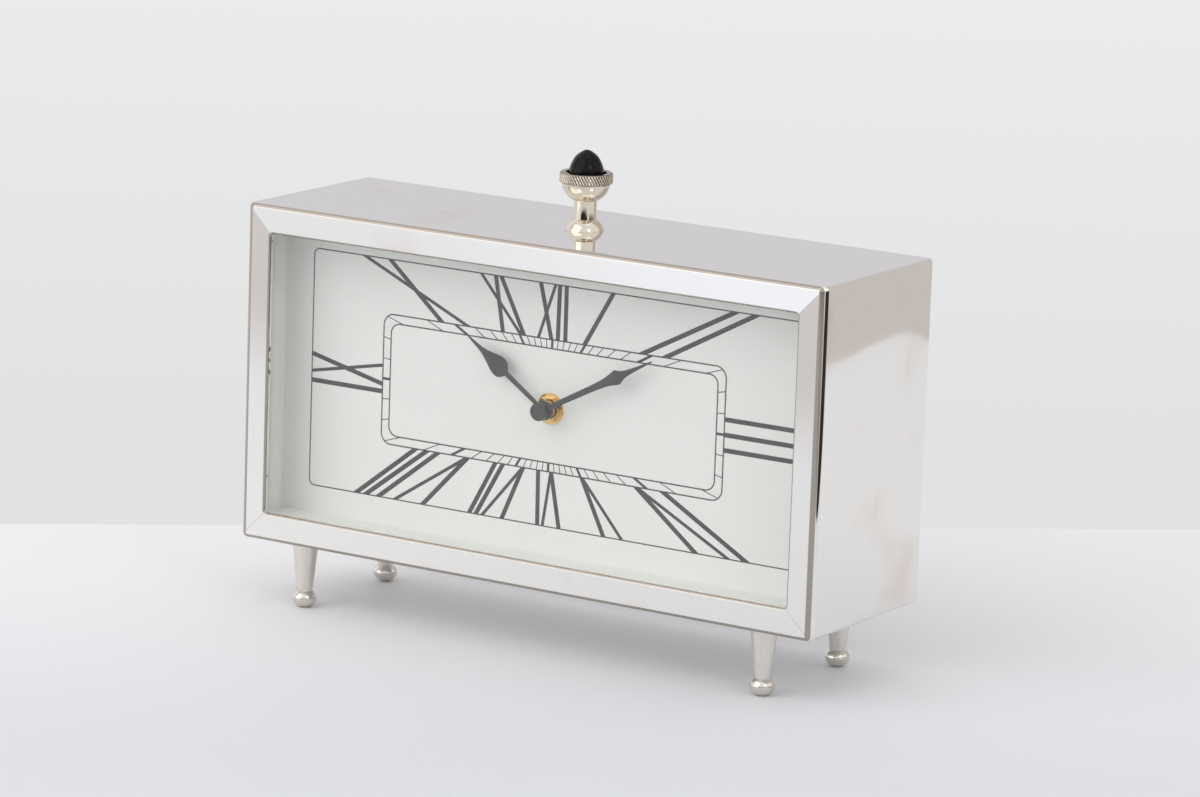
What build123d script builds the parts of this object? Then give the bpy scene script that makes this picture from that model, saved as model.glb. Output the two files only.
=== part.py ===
from build123d import *
import os
from math import acos, atan2, cos, degrees, hypot, pi, radians, sin, sqrt, tan

# Table clock, in millimetres. X runs to the right, Y to the back, Z up.
# The origin is on the table, under the middle of the case.

# Case of polished nickel sheet
case_width = 300.0
case_height = 154.0
case_depth = 92.0
sheet = 1.2
frame_thickness = 2.2
frame_width = 13.0
corner_radius = 3.5
edge_radius = 2.0
window_radius = 1.5
window_edge_radius = 1.2

# Glass and the pale strips between glass and dial
glass_thickness = 2.0
glass_overlap = 5.0
strip_clearance = 0.2
side_strip_thickness = 5.0
flat_strip_thickness = 9.6
dial_depth = 23.6

# Dial and its print
dial_thickness = 3.0
ink_thickness = 0.06
ink_gap = 0.02
dial_rise = 1.2
border_width = 257.4
border_height = 109.6
border_line = 0.55
border_radius = 3.0
track_width = 179.8
track_height = 60.0
track_radius = 5.5
track_band = 4.6
track_line = 0.6
minute_line = 0.4
hour_line = 1.2
thick_stroke = 2.1
thin_stroke = 1.5
bar_pitch = 6.8

# Legs
leg_height = 30.0
leg_side_inset = 29.0
leg_front_inset = 10.5
leg_back_inset = 17.0
leg_top_radius = 6.0
leg_neck_radius = 3.5
ball_radius = 5.55
ball_half_height = 4.4
foot_sink = 0.2
leg_screw_radius = 2.0
leg_screw_depth = 12.0
screw_clearance = 0.05
wall_hole_clearance = 0.2
washer_thickness = 0.8
screw_head_height = 2.4
screw_head_radius = 3.8
screw_washer_radius = 4.8
pocket_clearance = 0.6

# Finial
finial_base_radius = 8.5
finial_base_height = 5.0
finial_base_rim = 0.5
finial_base_step = 0.2
finial_base_crown = 8.0
stem_radius = 5.1
stem_waist = 0.15
stem_height = 8.2
cup_radius = 10.6
cup_height = 7.8
rim_radius = 11.9
rim_height = 4.8
rim_bore_radius = 9.1
rim_ridges = 54
rim_ridge_depth = 0.5
rim_twist = -14.0
rim_collar = 0.5
cabochon_radius = 7.7
cabochon_proud = 9.9
cabochon_flat_radius = 5.0
cabochon_shares = ((0.93, 0.29), (0.805, 0.505), (0.63, 0.72), (0.43, 0.85))
stud_radius = 2.5
stud_in_cup = 5.0
stud_inside = 7.0
nut_height = 3.2
nut_flats = 8.0
stud_washer_radius = 6.5

# Back panel, corner blocks and access door
block_size = 14.0
panel_thickness = 2.5
panel_recess = 4.0
panel_clearance = 0.4
access_size = 84.0
door_overlap = 4.0
door_thickness = 1.5
panel_screw_radius = 1.4
panel_screw_length = 16.0
panel_screw_head = 2.8
panel_head_height = 1.4
hinge_radius = 1.5
hinge_pin_radius = 0.75
hinge_clearance = 0.08
knuckle_length = 12.0
knuckle_gap = 0.4
door_gap = 0.3
pull_radius = 5.0
pull_height = 1.8
pull_stem_radius = 1.5
magnet_radius = 2.6
magnet_depth = 1.8

# Movement behind the dial
movement_size = 56.0
movement_depth = 17.0
movement_wall = 1.2
rubber_thickness = 1.0
rubber_radius = 9.0
bush_radius = 3.95
bush_proud = 3.7
bush_flange_radius = 6.0
bush_flange = 0.8
fixing_washer_radius = 7.0
fixing_washer_thickness = 0.8
fixing_nut_flats = 10.4
fixing_nut_height = 2.2
thread_clearance = 0.05
dial_hole_clearance = 0.25
running_clearance = 0.08
minute_arbor_radius = 1.6
bush_wall = 1.4
battery_radius = 7.1
battery_length = 50.4
battery_nub_radius = 2.7
battery_nub_length = 1.2
battery_clearance = 0.3
divider = 0.8
contact_thickness = 0.4

# Hands and cap, with depths measured from the front of the case
cap_front = 13.3
cap_radius = 4.0
cap_length = 1.9
cap_face = 0.5
minute_boss_radius = 3.4
minute_boss_length = 0.8
hour_boss_front = 17.4
hour_boss_radius = 4.4
hour_boss_length = 1.0
blade_thickness = 0.5
minute_hand_length = 63.7
hour_hand_length = 49.5
minute_hand_angle = 62.0
hour_hand_angle = -55.6

# Wheel work: tooth counts, modules and depths behind the front of the movement
pressure_angle = 20.0
addendum = 0.8
dedendum = 1.3
tooth_share = 0.4
cannon_teeth = 12
minute_wheel_teeth = 36
minute_pinion_teeth = 10
hour_wheel_teeth = 40
knob_teeth = 12
centre_wheel_teeth = 60
third_pinion_teeth = 8
third_wheel_teeth = 64
rotor_teeth = 8
motion_distance = 12.0
centre_module = 0.34
third_module = 0.28
minute_wheel_direction = 20.0
knob_direction = 80.0
third_direction = 135.0
rotor_direction = 140.0
wheel_thickness = 0.9
pinion_extra = 0.2
layer_gap = 0.6
pivot_radius = 0.8
pivot_clearance = 0.06
knob_shaft_radius = 1.6
knob_radius = 6.0
knob_length = 4.0
knob_flutes = 20
magnet_ring_radius = 3.0
magnet_ring_length = 2.2
stator_thickness = 1.2
stator_gap = 0.4
stator_limb = 3.4
plate_thickness = 1.0

# Plate, board and coil of the movement, with reaches measured from the shaft
plate_below = 10.4
plate_above = 18.4
plate_to_left = 24.6
plate_to_right = 17.6
post_radius = 1.7
post_margin = 0.3
boss_radius = 1.4
board_thickness = 1.0
board_plate_gap = 1.0
board_wall_gap = 0.5
crystal_radius = 1.1
crystal_length = 6.2
core_half = 1.0
core_rise = 4.0
coil_to_left = 11.5
coil_to_right = 7.5
coil_radius = 2.6
coil_bore = 1.3
seat_radius = 1.0
seat_margin = 0.2

# Places that follow from the sizes above
front = -case_depth / 2
back = case_depth / 2
bottom = leg_height
top = leg_height + case_height
middle = leg_height + case_height / 2
inner_side = case_width / 2 - sheet
inner_bottom = bottom + sheet
inner_top = top - sheet
glass_front = front + frame_thickness
strip_front = glass_front + glass_thickness
dial_front = front + dial_depth
dial_back = dial_front + dial_thickness
window_width = case_width - 2 * frame_width
window_height = case_height - 2 * frame_width
leg_side = case_width / 2 - leg_side_inset
leg_places = {
    "leg_front_left": (-leg_side, front + leg_front_inset),
    "leg_front_right": (leg_side, front + leg_front_inset),
    "leg_back_left": (-leg_side, back - leg_back_inset),
    "leg_back_right": (leg_side, back - leg_back_inset),
}
panel_back = back - panel_recess
panel_front = panel_back - panel_thickness
movement_front = dial_back + rubber_thickness
movement_back = movement_front + movement_depth
nut_front = dial_front - fixing_washer_thickness - fixing_nut_height
bush_front = dial_front - bush_proud
hour_pipe_radius = bush_radius - bush_wall
hour_pipe_front = front + hour_boss_front
cap_back = front + cap_front + cap_length
arbor_front = front + cap_front + cap_face


def facing(y):
    """Plane at depth y as seen from the front: local x is X and local y is Z."""
    return Plane(origin=(0, y, 0), x_dir=(1, 0, 0), z_dir=(0, -1, 0))


def slab(sketch, y_front, y_back):
    """Upright plate between two depths, with the sketch as its front view."""
    return extrude(facing(y_back) * sketch, amount=y_back - y_front)


def disc(x, z, radius, y_front, y_back):
    """Round bar along Y."""
    return slab(Pos(x, z) * Circle(radius), y_front, y_back)


def plate(x_low, x_high, y_low, y_high, z_low, z_high):
    """Rectangular block between its bounds."""
    block = Box(x_high - x_low, y_high - y_low, z_high - z_low)
    return Pos((x_low + x_high) / 2, (y_low + y_high) / 2, (z_low + z_high) / 2) * block


def post(x, y, radius, z_low, z_high):
    """Upright round bar."""
    bar = Cylinder(radius, z_high - z_low, align=(Align.CENTER, Align.CENTER, Align.MIN))
    return Pos(x, y, z_low) * bar


def area(x_low, x_high, y_low, y_high):
    """Flat rectangle between its bounds."""
    return Pos((x_low + x_high) / 2, (y_low + y_high) / 2) * Rectangle(x_high - x_low, y_high - y_low)


def turned(profile):
    """Turned piece about Z from its half profile, given as radius and height."""
    return revolve(Plane.XZ * profile, axis=Axis.Z)


def polar(distance, direction):
    """Point at a distance and a direction in degrees, counted from X towards Z."""
    return distance * cos(radians(direction)), distance * sin(radians(direction))


def case_shell():
    """Sheet box with a front frame round the window, open at the back."""
    shell = plate(-case_width / 2, case_width / 2, front, back, bottom, top)
    uprights = shell.edges().filter_by(Axis.Z).group_by(Axis.Y)[0]
    shell = fillet(uprights, corner_radius)
    for height in (top, bottom):
        rim = [
            edge
            for edge in shell.edges()
            if abs(edge.center().Z - height) < edge_radius / 2 and edge.center().Y < back - edge_radius / 2
        ]
        shell = fillet(rim, edge_radius)
    hollow = plate(-inner_side, inner_side, glass_front, back + sheet, inner_bottom, inner_top)
    hollow = fillet(hollow.edges().filter_by(Axis.Z).group_by(Axis.Y)[0], corner_radius - sheet)
    shell -= hollow
    opening = Pos(0, middle) * RectangleRounded(window_width, window_height, window_radius)
    shell -= slab(opening, front - sheet, glass_front + sheet)
    lip = [
        edge
        for edge in shell.edges()
        if abs(edge.center().Y - front) < 0.01
        and abs(edge.center().X) < window_width / 2 + 0.01
        and abs(edge.center().Z - middle) < window_height / 2 + 0.01
    ]
    shell = fillet(lip, window_edge_radius)
    for x, y in leg_places.values():
        shell -= post(x, y, leg_screw_radius + wall_hole_clearance, bottom - sheet, bottom + 2 * sheet)
    shell -= post(0, 0, stud_radius + wall_hole_clearance, top - 2 * sheet, top + sheet)
    return shell


def glass_pane():
    """Flat pane that bears on the back of the frame."""
    shape = Rectangle(window_width + 2 * glass_overlap, window_height + 2 * glass_overlap)
    return slab(Pos(0, middle) * shape, glass_front, strip_front)


def side_strip(side):
    """Upright strip between glass and dial, on one side."""
    outer = inner_side - strip_clearance
    edges = sorted((side * outer, side * (outer - side_strip_thickness)))
    low = inner_bottom + strip_clearance
    high = inner_top - strip_clearance
    return plate(edges[0], edges[1], strip_front, dial_front, low, high)


def flat_strip(side):
    """Level strip under (side -1) or over (side 1) the space between glass and dial."""
    reach = inner_side - strip_clearance - side_strip_thickness
    outer = middle + side * (case_height / 2 - sheet - strip_clearance)
    edges = sorted((outer, outer - side * flat_strip_thickness))
    strip = plate(-reach, reach, strip_front, dial_front, edges[0], edges[1])
    if side < 0:
        high = inner_bottom + washer_thickness + screw_head_height + pocket_clearance
        for x, y in leg_places.values():
            strip -= post(x, y, screw_washer_radius + pocket_clearance, bottom, high)
    return strip


def dial_plate():
    """Plain board that fills the case behind the strips."""
    width = 2 * (inner_side - strip_clearance)
    height = inner_top - inner_bottom - 2 * strip_clearance
    board = Pos(0, middle) * Rectangle(width, height)
    board -= Pos(0, middle) * Circle(bush_radius + dial_hole_clearance)
    return slab(board, dial_front, dial_back)


def printed(sketch):
    """Thin coat of ink on the dial, drawn about the centre of the print."""
    return slab(Pos(0, middle + dial_rise) * sketch, dial_front - ink_thickness, dial_front)


def outline(width, height, radius, line):
    """Rounded rectangle drawn with a line inside its bounds."""
    inside = RectangleRounded(width - 2 * line, height - 2 * line, radius - line)
    return RectangleRounded(width, height, radius) - inside


def dial_border():
    """Border line round the numerals."""
    return printed(outline(border_width, border_height, border_radius, border_line))


def ray_point(angle, half_width, half_height):
    """Where the ray at a clock angle leaves a rectangle about the centre."""
    x = sin(radians(angle))
    y = cos(radians(angle))
    reach = min(half_width / max(abs(x), 1e-9), half_height / max(abs(y), 1e-9))
    return x * reach, y * reach


def tick(minute):
    """Mark of one minute: a bar along its ray, as wide as the band and its lines allow."""
    angle = minute * 360 / 60
    line = hour_line if minute % 5 == 0 else minute_line
    x0, y0 = ray_point(angle, track_width / 2 - track_band, track_height / 2 - track_band)
    x1, y1 = ray_point(angle, track_width / 2, track_height / 2)
    length = hypot(x1 - x0, y1 - y0)
    bar = Rot(0, 0, degrees(atan2(y1 - y0, x1 - x0))) * Rectangle(length + 2 * line, line)
    return Pos((x0 + x1) / 2, (y0 + y1) / 2) * bar


def chapter_ring():
    """Minute track: two rounded rectangles with sixty marks between them."""
    inner_width = track_width - 2 * track_band + 2 * track_line
    inner_height = track_height - 2 * track_band + 2 * track_line
    inner_radius = track_radius - track_line
    outside = RectangleRounded(track_width, track_height, track_radius)
    inside = RectangleRounded(
        inner_width - 2 * track_line, inner_height - 2 * track_line, inner_radius - track_line
    )
    marks = Sketch() + [tick(minute) for minute in range(60)]
    marks = marks & (outside - inside)
    track = outline(track_width, track_height, track_radius, track_line)
    track += outline(inner_width, inner_height, inner_radius, track_line)
    return printed(track + marks)


def stroke(at_track, at_border, line, level):
    """Slanting bar from the track to the border, above (level 1) or below (level -1) the centre."""
    y0 = track_height / 2 + ink_gap
    y1 = border_height / 2 - border_line - ink_gap
    slant = hypot(at_border - at_track, y1 - y0) / (y1 - y0)
    half = line * slant / 2
    corners = [
        (at_track - half, level * y0),
        (at_track + half, level * y0),
        (at_border + half, level * y1),
        (at_border - half, level * y1),
    ]
    return make_face(Polyline(*corners, close=True))


def side_stroke(at_track, at_border, line, side):
    """Bar from the track to the border on the right (side 1) or the left (side -1)."""
    x0 = track_width / 2 + ink_gap
    x1 = border_width / 2 - border_line - ink_gap
    half = line / 2
    corners = [
        (side * x0, at_track - half),
        (side * x0, at_track + half),
        (side * x1, at_border + half),
        (side * x1, at_border - half),
    ]
    return make_face(Polyline(*corners, close=True))


def numerals():
    """Twelve Roman numerals, each with its top outwards and its strokes along rays."""
    above = {
        "ten": [(-58.8, -86.9, thick_stroke), (-45.2, -100.4, thin_stroke)],
        "eleven": [
            (-26.1, -30.6, thick_stroke),
            (-16.8, -38.1, thin_stroke),
            (-15.0, -27.6, thick_stroke),
        ],
        "twelve": [
            (-0.6, -6.8, thick_stroke),
            (-7.3, 0.8, thin_stroke),
            (2.8, 3.1, thick_stroke),
            (6.7, 6.6, thick_stroke),
        ],
        "one": [(16.9, 30.7, thick_stroke)],
        "two": [(47.0, 92.7, thick_stroke), (58.8, 103.1, thick_stroke)],
    }
    below = {
        "four": [
            (46.2, 77.2, thick_stroke),
            (46.6, 93.6, thin_stroke),
            (60.0, 103.0, thick_stroke),
        ],
        "five": [(17.7, 29.8, thick_stroke), (18.0, 39.3, thin_stroke)],
        "six": [(1.7, 6.5, thick_stroke), (1.4, -2.1, thin_stroke), (-5.2, -4.8, thick_stroke)],
        "seven": [
            (-13.3, -23.6, thick_stroke),
            (-13.6, -34.0, thin_stroke),
            (-24.0, -37.4, thick_stroke),
            (-28.0, -40.9, thick_stroke),
        ],
        "eight": [
            (-43.0, -66.0, thick_stroke),
            (-43.6, -81.0, thin_stroke),
            (-59.0, -90.0, thick_stroke),
            (-65.0, -96.9, thick_stroke),
            (-71.1, -102.1, thick_stroke),
        ],
    }
    print_all = Sketch()
    for strokes in above.values():
        print_all += [stroke(*bar, 1) for bar in strokes]
    for strokes in below.values():
        print_all += [stroke(*bar, -1) for bar in strokes]
    print_all += [side_stroke(level, level, thick_stroke, 1) for level in (-bar_pitch, 0, bar_pitch)]
    nine = [(-2.6, 6.2, thick_stroke), (5.9, -1.7, thin_stroke), (-6.0, -6.0, thick_stroke)]
    print_all += [side_stroke(*bar, -1) for bar in nine]
    return printed(print_all)


def leg(x, y):
    """Turned leg: tapered shank over a ball foot with a small flat, tapped from above."""
    centre = ball_half_height - foot_sink
    half_space = area(0, 2 * ball_radius, 0, leg_height)
    neck_height = centre + ball_half_height / 2
    shank = make_face(
        Polyline(
            (0, neck_height),
            (leg_neck_radius, neck_height),
            (leg_top_radius, leg_height),
            (0, leg_height),
            close=True,
        )
    )
    profile = (Pos(0, centre) * Ellipse(ball_radius, ball_half_height) + shank) & half_space
    profile -= area(-1, leg_screw_radius + screw_clearance, leg_height - leg_screw_depth - 1, leg_height)
    return Pos(x, y, 0) * turned(profile)


def leg_screw(x, y):
    """Pan head screw that comes down through the floor of the case into a leg."""
    seat = inner_bottom + washer_thickness
    screw = post(x, y, leg_screw_radius, leg_height - leg_screw_depth, seat)
    head = post(x, y, screw_head_radius, seat, seat + screw_head_height)
    head = chamfer(head.edges().sort_by(Axis.Z)[-1], screw_head_height / 4)
    slot = plate(
        x - screw_head_radius,
        x + screw_head_radius,
        y - washer_thickness / 2,
        y + washer_thickness / 2,
        seat + screw_head_height / 2,
        seat + 2 * screw_head_height,
    )
    return screw + head - slot


def leg_washer(x, y):
    """Washer under a leg screw's head."""
    ring = post(x, y, screw_washer_radius, inner_bottom, inner_bottom + washer_thickness)
    return ring - post(x, y, leg_screw_radius + screw_clearance, bottom, inner_bottom + sheet)


def finial_base():
    """Domed foot of the finial, on the top of the case, with a small step under its edge."""
    foot_radius = finial_base_radius - finial_base_step
    dome = make_face(
        Polyline(
            (0, 0),
            (foot_radius, 0),
            (foot_radius, finial_base_step),
            (finial_base_radius, finial_base_step),
            (finial_base_radius, finial_base_rim),
        )
        + RadiusArc(
            (finial_base_radius, finial_base_rim),
            (stem_radius, finial_base_height),
            -finial_base_crown,
        )
        + Polyline((stem_radius, finial_base_height), (0, finial_base_height), (0, 0))
    )
    dome -= area(-1, stud_radius + screw_clearance, -1, finial_base_height + 1)
    return Pos(0, 0, top) * turned(dome)


def finial_stem():
    """Stem with a slight waist."""
    low = (stem_radius, 0)
    waist = (stem_radius - stem_waist, stem_height / 2)
    high = (stem_radius, stem_height)
    side = ThreePointArc(low, waist, high)
    profile = make_face(Polyline((0, 0), low) + side + Polyline(high, (0, stem_height), (0, 0)))
    profile -= area(-1, stud_radius + screw_clearance, -1, stem_height + 1)
    return Pos(0, 0, top + finial_base_height) * turned(profile)


def finial_cup():
    """Round-bottomed cup, upright at its top edge and as wide as the stem below, tapped for the stud."""
    reach = cup_height / sqrt(1 - (stem_radius / cup_radius) ** 2)
    profile = Pos(0, cup_height) * Ellipse(cup_radius, reach) & area(0, 2 * cup_radius, 0, cup_height)
    profile -= area(-1, stud_radius + screw_clearance, -1, stud_in_cup)
    return Pos(0, 0, top + finial_base_height + stem_height) * turned(profile)


rim_bottom = top + finial_base_height + stem_height + cup_height


def ridged(angle):
    """Star outline of the knurled rim, turned by an angle."""
    points = []
    for number in range(rim_ridges):
        for share, radius in ((0.0, rim_radius - rim_ridge_depth), (0.5, rim_radius)):
            points.append(polar(radius, angle + (number + share) * 360 / rim_ridges))
    return make_face(Polyline(*points, close=True))


def finial_rim():
    """Knurled ring on the cup: slanting ridges between two plain collars."""
    low = rim_bottom + rim_collar
    high = rim_bottom + rim_height - rim_collar
    outlines = [Plane.XY.offset(low) * ridged(0), Plane.XY.offset(high) * ridged(rim_twist)]
    ring = loft(outlines, ruled=True)
    collar_radius = rim_radius - rim_ridge_depth
    ring += post(0, 0, collar_radius, rim_bottom, low)
    ring += post(0, 0, collar_radius, high, rim_bottom + rim_height)
    return ring - post(0, 0, rim_bore_radius, rim_bottom - 1, rim_bottom + rim_height + 1)


def finial_cabochon():
    """Egg-shaped stone that stands in the rim; its outline is drawn whole so that the tip is round."""
    height = rim_height + cabochon_proud
    points = [(cabochon_flat_radius, 0), (cabochon_radius, rim_height * 0.75)]
    for width, rise in cabochon_shares:
        points.append((cabochon_radius * width, rim_height + cabochon_proud * rise))
    mirrored = [(-x, z) for x, z in reversed(points)]
    outline = Spline(*points, (0, height), *mirrored) + Line(mirrored[-1], points[0])
    profile = make_face(outline) & area(0, 2 * cabochon_radius, 0, 2 * height)
    return Pos(0, 0, rim_bottom) * turned(profile)


def finial_stud():
    """Threaded rod from inside the case up into the cup."""
    high = top + finial_base_height + stem_height + stud_in_cup - screw_clearance
    return post(0, 0, stud_radius, inner_top - stud_inside, high)


def finial_washer():
    """Washer under the roof of the case."""
    ring = post(0, 0, stud_washer_radius, inner_top - washer_thickness, inner_top)
    return ring - post(0, 0, stud_radius + screw_clearance, inner_top - sheet, top)


def hexagon(flats):
    """Regular hexagon by its width across flats."""
    return RegularPolygon(flats / 2, 6, major_radius=False)


def finial_nut():
    """Hexagon nut that pulls the finial down."""
    high = inner_top - washer_thickness
    nut = extrude(Plane.XY.offset(high - nut_height) * hexagon(nut_flats), amount=nut_height)
    return nut - post(0, 0, stud_radius + screw_clearance, high - 2 * nut_height, top)


def block_place(side, level):
    """Centre of a corner block in X and Z."""
    x = side * (inner_side - strip_clearance - block_size / 2)
    z = middle + level * (case_height / 2 - sheet - strip_clearance - block_size / 2)
    return x, z


def corner_block(side, level):
    """Wooden block in a corner, between dial and back panel, with its pilot hole."""
    x, z = block_place(side, level)
    block = slab(Pos(x, z) * Rectangle(block_size, block_size), dial_back, panel_front)
    depth = panel_screw_length + panel_screw_radius
    return block - disc(x, z, panel_screw_radius + screw_clearance, panel_front - depth, back)


def panel_screw(side, level):
    """Screw through the back panel into a corner block."""
    x, z = block_place(side, level)
    screw = disc(x, z, panel_screw_radius, panel_back - panel_screw_length, panel_back)
    head = disc(x, z, panel_screw_head, panel_back, panel_back + panel_head_height)
    head = chamfer(head.edges().sort_by(Axis.Y)[-1], panel_head_height / 3)
    slot = plate(
        x - panel_screw_head,
        x + panel_screw_head,
        panel_back + panel_head_height / 2,
        back,
        z - washer_thickness / 3,
        z + washer_thickness / 3,
    )
    return screw + head - slot


hinge_x = -(access_size / 2 + door_overlap + hinge_radius + door_gap)
hinge_y = panel_back + hinge_radius + door_gap
hinge_half = 2.5 * knuckle_length + 2 * knuckle_gap


def knuckle(number, clearance):
    """Round knuckle of the hinge; numbers run up from -2 to 2."""
    low = middle + number * (knuckle_length + knuckle_gap) - knuckle_length / 2
    barrel = post(hinge_x, hinge_y, hinge_radius, low, low + knuckle_length)
    return barrel - post(hinge_x, hinge_y, hinge_pin_radius + clearance, bottom, top)


def back_panel():
    """Recessed panel with the access opening and the fixed hinge knuckles."""
    width = 2 * (inner_side - panel_clearance)
    height = inner_top - inner_bottom - 2 * panel_clearance
    board = Pos(0, middle) * (Rectangle(width, height) - Rectangle(access_size, access_size))
    panel = slab(board, panel_front, panel_back)
    for side in (-1, 1):
        for level in (-1, 1):
            x, z = block_place(side, level)
            panel -= disc(x, z, panel_screw_radius + screw_clearance, panel_front - 1, panel_back + 1)
    for number in (-1, 1):
        centre = middle + number * (knuckle_length + knuckle_gap)
        foot = plate(
            hinge_x - hinge_radius,
            hinge_x,
            panel_back,
            hinge_y,
            centre - knuckle_length / 2,
            centre + knuckle_length / 2,
        )
        foot -= post(hinge_x, hinge_y, hinge_pin_radius, bottom, top)
        panel += foot + knuckle(number, 0)
    x = access_size / 2 + door_overlap / 2 + pull_stem_radius
    return panel - disc(x, middle, magnet_radius + screw_clearance, panel_back - magnet_depth, back)


def access_door():
    """Steel door over the access opening, with the moving hinge knuckles."""
    reach = access_size / 2 + door_overlap
    magnet_reach = reach + 2 * magnet_radius
    low = panel_back + door_gap
    leaf = plate(-reach, magnet_reach, low, low + door_thickness, middle - reach, middle + reach)
    for number in (-2, 0, 2):
        centre = middle + number * (knuckle_length + knuckle_gap)
        tab = plate(
            hinge_x,
            -reach,
            low,
            low + door_thickness,
            centre - knuckle_length / 2,
            centre + knuckle_length / 2,
        )
        tab -= post(hinge_x, hinge_y, hinge_pin_radius + hinge_clearance, bottom, top)
        leaf += tab + knuckle(number, hinge_clearance)
    x = access_size / 2 - pull_radius
    return leaf - disc(x, middle, pull_stem_radius + screw_clearance, panel_front, back)


def door_pin():
    """Hinge pin, tight in the panel's knuckles."""
    return post(hinge_x, hinge_y, hinge_pin_radius, middle - hinge_half, middle + hinge_half)


def door_pull():
    """Low button riveted through the door."""
    x = access_size / 2 - pull_radius
    face = panel_back + door_gap + door_thickness
    button = disc(x, middle, pull_radius, face, face + pull_height)
    button = fillet(button.edges().sort_by(Axis.Y)[-1], pull_height / 3)
    return button + disc(x, middle, pull_stem_radius, face - door_thickness, face)


def door_magnet():
    """Magnet let into the back panel."""
    x = access_size / 2 + door_overlap / 2 + pull_stem_radius
    return disc(x, middle, magnet_radius, panel_back - magnet_depth, panel_back)


# Layers of the movement, counted back from its front face
hour_layer = movement_front + movement_wall + bush_flange + layer_gap / 2
minute_layer = hour_layer + wheel_thickness + layer_gap
centre_layer = minute_layer + wheel_thickness + 2 * layer_gap
third_layer = centre_layer + wheel_thickness + 2 * layer_gap
magnet_front = third_layer + wheel_thickness + 2 * layer_gap
magnet_back = magnet_front + magnet_ring_length
stator_front = magnet_front + (magnet_ring_length - stator_thickness) / 2
stator_back = stator_front + stator_thickness
train_plate_front = magnet_back + layer_gap
train_plate_back = train_plate_front + plate_thickness
cover_front = movement_back - movement_wall
half = movement_size / 2

# Modules that share the motion work's centre distance
cannon_module = 2 * motion_distance / (cannon_teeth + minute_wheel_teeth)
hour_module = 2 * motion_distance / (minute_pinion_teeth + hour_wheel_teeth)
knob_distance = cannon_module * (minute_wheel_teeth + knob_teeth) / 2
third_distance = centre_module * (centre_wheel_teeth + third_pinion_teeth) / 2
rotor_distance = third_module * (third_wheel_teeth + rotor_teeth) / 2


def beside(place, distance, direction):
    """Point at a distance and direction from another."""
    x, z = polar(distance, direction)
    return place[0] + x, place[1] + z


centre_place = (0.0, middle)
minute_wheel_place = beside(centre_place, motion_distance, minute_wheel_direction)
knob_place = beside(minute_wheel_place, knob_distance, knob_direction)
third_place = beside(centre_place, third_distance, third_direction)
rotor_place = beside(third_place, rotor_distance, rotor_direction)


def mesh_phase(teeth, phase, direction, other_teeth):
    """Angle of a tooth on the second wheel that puts its gap at a tooth of the first."""
    return direction + 180 - teeth / other_teeth * (phase - direction) - 180 / other_teeth


minute_wheel_phase = mesh_phase(cannon_teeth, 0, minute_wheel_direction, minute_wheel_teeth)
hour_wheel_phase = mesh_phase(minute_pinion_teeth, 0, minute_wheel_direction + 180, hour_wheel_teeth)
knob_phase = mesh_phase(minute_wheel_teeth, minute_wheel_phase, knob_direction, knob_teeth)
third_pinion_phase = mesh_phase(centre_wheel_teeth, 0, third_direction, third_pinion_teeth)
rotor_phase = mesh_phase(third_wheel_teeth, 0, rotor_direction, rotor_teeth)


def involute(angle):
    """Involute function of a pressure angle in radians."""
    return tan(angle) - angle


def gear(teeth, module, phase):
    """Spur gear outline with slim involute teeth, one of them centred at the phase angle."""
    pitch_radius = teeth * module / 2
    base_radius = pitch_radius * cos(radians(pressure_angle))
    root_radius = pitch_radius - dedendum * module
    tip_radius = pitch_radius + addendum * module
    at_pitch = pi * tooth_share / teeth
    at_base = at_pitch + involute(radians(pressure_angle))
    foot_radius = max(base_radius, root_radius)
    flank = []
    for step in range(4):
        radius = foot_radius + (tip_radius - foot_radius) * step / 3
        flank.append((radius, at_base - involute(acos(base_radius / radius))))
    if root_radius < foot_radius:
        flank.insert(0, (root_radius, at_base))
    points = []
    for number in range(teeth):
        centre = phase + number * 360 / teeth
        for radius, angle in flank:
            points.append(polar(radius, centre - degrees(angle)))
        for radius, angle in reversed(flank):
            points.append(polar(radius, centre + degrees(angle)))
    return make_face(Polyline(*points, close=True))


def wheel(place, teeth, module, phase, y_front, thickness):
    """Toothed wheel at a place, with its front face at a depth."""
    return slab(Pos(*place) * gear(teeth, module, phase), y_front, y_front + thickness)


def pinion(place, teeth, module, phase, layer):
    """Toothed pinion a little wider than the wheel it drives."""
    return wheel(place, teeth, module, phase, layer - pinion_extra, wheel_thickness + 2 * pinion_extra)


def bore(place, radius, y_front, y_back):
    """Round bar to be cut out at a place."""
    return disc(place[0], place[1], radius, y_front, y_back)


def minute_arbor():
    """Brass arbor with its cannon pinion and the centre wheel."""
    arbor = disc(0, middle, minute_arbor_radius, arbor_front, train_plate_back)
    arbor += pinion(centre_place, cannon_teeth, cannon_module, 0, minute_layer)
    return arbor + wheel(centre_place, centre_wheel_teeth, centre_module, 0, centre_layer, wheel_thickness)


def hour_wheel():
    """Hour wheel with the pipe that carries the hour hand."""
    body = disc(0, middle, hour_pipe_radius, hour_pipe_front, hour_layer)
    body += wheel(
        centre_place, hour_wheel_teeth, hour_module, hour_wheel_phase, hour_layer, wheel_thickness
    )
    return body - disc(0, middle, minute_arbor_radius + running_clearance, front, movement_back)


def minute_wheel():
    """Reversing wheel and its pinion, on the stud of the movement case."""
    body = wheel(
        minute_wheel_place, minute_wheel_teeth, cannon_module, minute_wheel_phase, minute_layer, wheel_thickness
    )
    body += wheel(
        minute_wheel_place, minute_pinion_teeth, hour_module, 0, hour_layer, minute_layer - hour_layer
    )
    return body - bore(minute_wheel_place, pivot_radius + pivot_clearance, front, back)


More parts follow.
